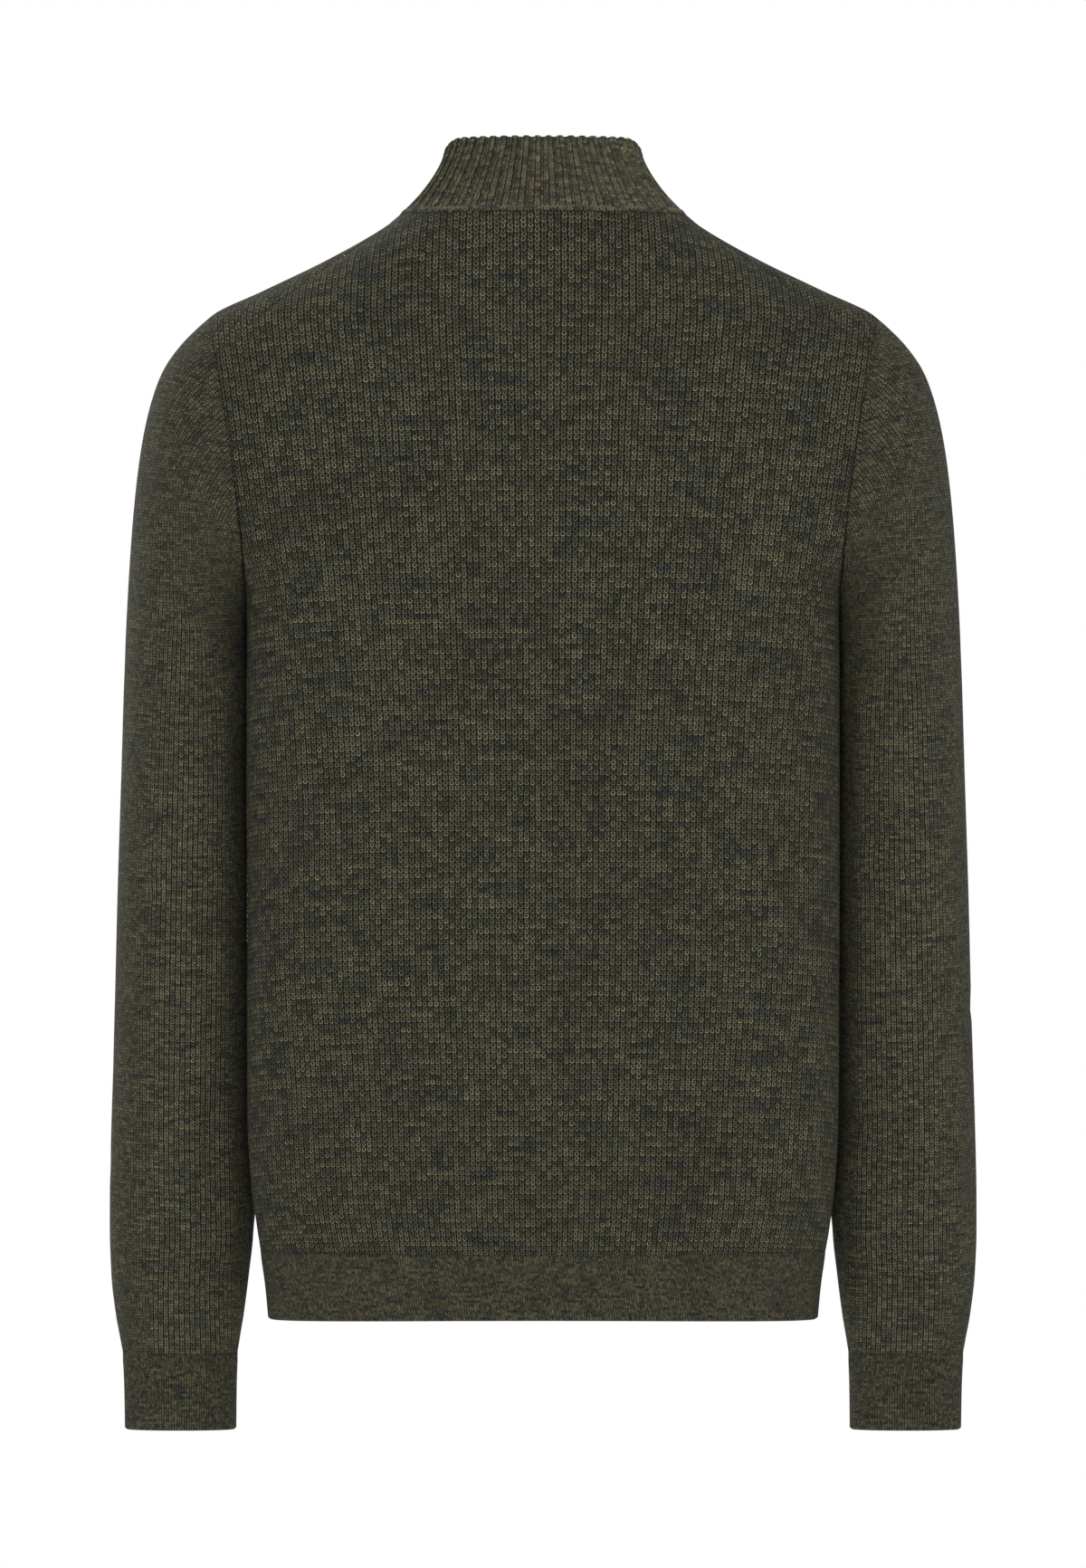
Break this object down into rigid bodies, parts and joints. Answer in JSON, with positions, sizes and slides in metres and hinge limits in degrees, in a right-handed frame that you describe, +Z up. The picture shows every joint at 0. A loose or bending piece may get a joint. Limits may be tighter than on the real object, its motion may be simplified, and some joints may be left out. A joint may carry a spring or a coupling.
{
  "type": "zip-front knitted cardigan with a stand collar, filled out with no wearer",
  "caption": "Long-sleeved zip-front knitted cardigan with a ribbed stand collar, hem and cuffs, hollow and filled out as worn.",
  "frame": {"origin": "middle of the neck opening, level with the back collar seam, where the wearer's neck and shoulders hold the garment", "axes": "+Z up, the front faces -Y, +X is the wearer's left"},
  "size_m": [0.5392, 0.254, 0.7998],
  "materials": {
    "marled_knit": "matte marled rib knit of olive and dark navy yarn",
    "rib_knit": "matte rib knit of the same marled yarn",
    "zip_tape": "woven tape",
    "zip_metal": "dark satin metal"
  },
  "bodies": {
    "cardigan": {"back": "marled_knit", "front_left": "marled_knit", "front_right": "marled_knit", "sleeve_left": "marled_knit", "sleeve_right": "marled_knit", "collar": "rib_knit", "hem_back": "rib_knit", "hem_front_left": "rib_knit", "hem_front_right": "rib_knit", "cuff_left": "rib_knit", "cuff_right": "rib_knit", "zip_tape_left": "zip_tape", "zip_tape_right": "zip_tape", "zip_teeth_left": "zip_metal", "zip_teeth_right": "zip_metal", "zip_stop_left": "zip_metal", "zip_stop_right": "zip_metal", "zip_box": "zip_metal", "zip_slider": "zip_metal"},
    "pull_tab": {"zip_pull": "zip_metal"}
  },
  "joints": [
    {"name": "pull_tab_swing", "type": "hinge", "parent": "cardigan", "child": "pull_tab", "pos_m": [0, -0.07626, -0.0259], "axis": [-1, 0, 0], "range_deg": [0, 150]}
  ]
}
